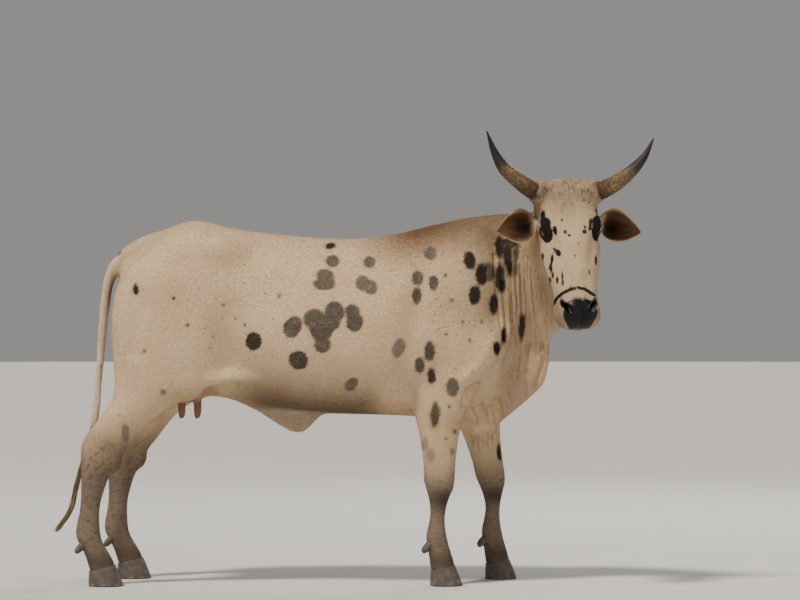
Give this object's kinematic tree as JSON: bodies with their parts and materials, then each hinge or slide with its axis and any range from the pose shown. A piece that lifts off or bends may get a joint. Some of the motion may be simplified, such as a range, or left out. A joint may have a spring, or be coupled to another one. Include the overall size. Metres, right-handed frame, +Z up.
{
  "type": "nguni cow",
  "caption": "Life-size still model of a standing white nguni cow with dark spots, long upswept horns and its head turned to its right.",
  "frame": {"origin": "on the floor, under the middle of the animal's box", "axes": "+X from the tail to the chest, +Y to the cow's left, +Z up; the head is turned to -Y"},
  "size_m": [2.0488, 0.7674, 1.5347],
  "materials": {
    "hide": "short cream-white coat with blue-grey and black spots",
    "bare_skin": "thin pinkish brown skin",
    "hair": "long brown hair with pale strands",
    "horn": "brown horn, mottled at the base and dark at the tip",
    "eye": "wet dark brown",
    "claw": "dark grey-brown horn"
  },
  "bodies": {
    "root": {"head": "hide", "neck": "hide", "dewlap": "hide", "chest": "hide", "barrel": "hide", "rump": "hide", "navel_flap": "hide", "tail_dock": "hide", "tail_shaft": "hide", "fore_upper_right": "hide", "fore_cannon_right": "hide", "fore_pastern_right": "hide", "fore_upper_left": "hide", "fore_cannon_left": "hide", "fore_pastern_left": "hide", "hind_upper_right": "hide", "hind_cannon_right": "hide", "hind_pastern_right": "hide", "hind_upper_left": "hide", "hind_cannon_left": "hide", "hind_pastern_left": "hide", "ear_right": "hide", "ear_left": "hide", "udder": "bare_skin", "tail_switch": "hair", "horn_right": "horn", "horn_left": "horn", "eye_right": "eye", "eye_left": "eye", "fore_right_claw_right": "claw", "fore_right_claw_left": "claw", "fore_right_dewclaw_right": "claw", "fore_right_dewclaw_left": "claw", "fore_left_claw_right": "claw", "fore_left_claw_left": "claw", "fore_left_dewclaw_right": "claw", "fore_left_dewclaw_left": "claw", "hind_right_claw_right": "claw", "hind_right_claw_left": "claw", "hind_right_dewclaw_right": "claw", "hind_right_dewclaw_left": "claw", "hind_left_claw_right": "claw", "hind_left_claw_left": "claw", "hind_left_dewclaw_right": "claw", "hind_left_dewclaw_left": "claw"}
  },
  "joints": []
}
